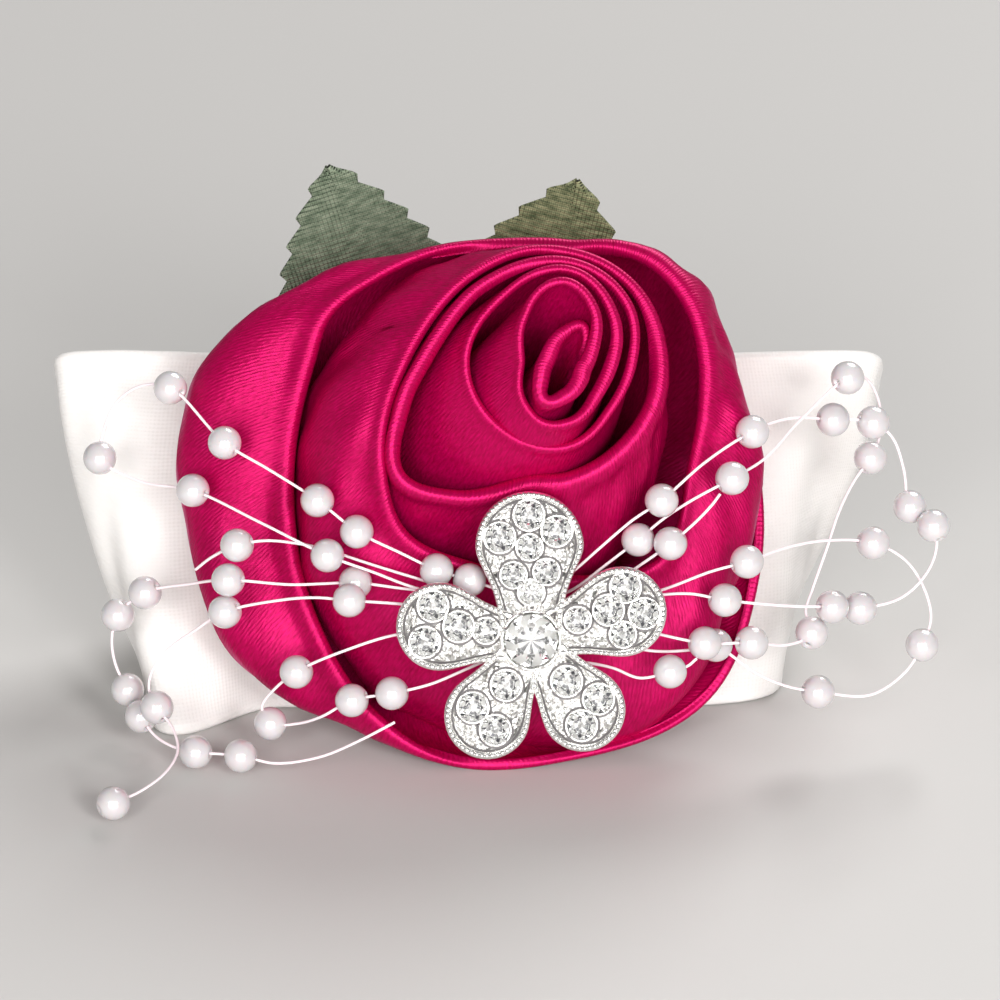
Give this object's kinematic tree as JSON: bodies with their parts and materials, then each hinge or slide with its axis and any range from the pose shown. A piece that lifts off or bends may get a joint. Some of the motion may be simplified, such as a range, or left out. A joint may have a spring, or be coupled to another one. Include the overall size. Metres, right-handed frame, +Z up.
{
  "type": "wrist corsage",
  "caption": "Rolled satin rose with leaves, stone-set flower brooch and pearl bead strands, on a wide white satin wristband that closes at the back with press studs.",
  "frame": {"origin": "under the middle of the corsage's box, without its pearl strands, on the surface that it stands on", "axes": "+Z up; +Y from the rose to the back flap; +X to the right as the rose is seen"},
  "size_m": [0.0997, 0.0797, 0.0555],
  "materials": {
    "rose_satin": "satin, fine crepe weave",
    "white_satin": "satin",
    "felt": "felt",
    "leaf_cloth": "plain weave, pinked edge",
    "silver_plate": "polished silver plate",
    "snap_metal": "satin nickel",
    "stone": "cut glass",
    "pearl": "pearl lustre"
  },
  "bodies": {
    "corsage": {"wristband": "white_satin", "felt_pad": "felt", "leaf_left": "leaf_cloth", "leaf_right": "leaf_cloth", "rose_bud": "rose_satin", "rose_middle_wrap": "rose_satin", "rose_outer_wrap": "rose_satin", "brooch_setting": "silver_plate", "snap_stud_lower": "snap_metal", "snap_stud_upper": "snap_metal", "centre_stone": "stone", "stone_top_1": "stone", "stone_top_2": "stone", "stone_top_3": "stone", "stone_top_4": "stone", "stone_top_5": "stone", "stone_top_6": "stone", "stone_right_1": "stone", "stone_right_2": "stone", "stone_right_3": "stone", "stone_right_4": "stone", "stone_right_5": "stone", "stone_left_1": "stone", "stone_left_2": "stone", "stone_left_3": "stone", "stone_left_4": "stone", "stone_lower_left_1": "stone", "stone_lower_left_2": "stone", "stone_lower_left_3": "stone", "stone_lower_right_1": "stone", "stone_lower_right_2": "stone", "stone_lower_right_3": "stone", "pearl_strand_left_upper": "pearl", "pearl_strand_left_outer": "pearl", "pearl_strand_left_trailing": "pearl", "pearl_strand_left_lower": "pearl", "pearl_strand_left_short": "pearl", "pearl_strand_right_upper": "pearl", "pearl_strand_right_middle": "pearl", "pearl_strand_right_outer": "pearl", "pearl_strand_right_short": "pearl", "pearl_strand_right_lower": "pearl"},
    "back_flap": {"band_flap": "white_satin", "snap_socket_lower": "snap_metal", "snap_socket_upper": "snap_metal"}
  },
  "joints": [
    {"name": "flap_fold", "type": "hinge", "parent": "corsage", "child": "back_flap", "pos_m": [0.02308, 0.03078, 0.0002], "axis": [-0.0699, 0.4365, -0.897], "range_deg": [0, 100]}
  ]
}
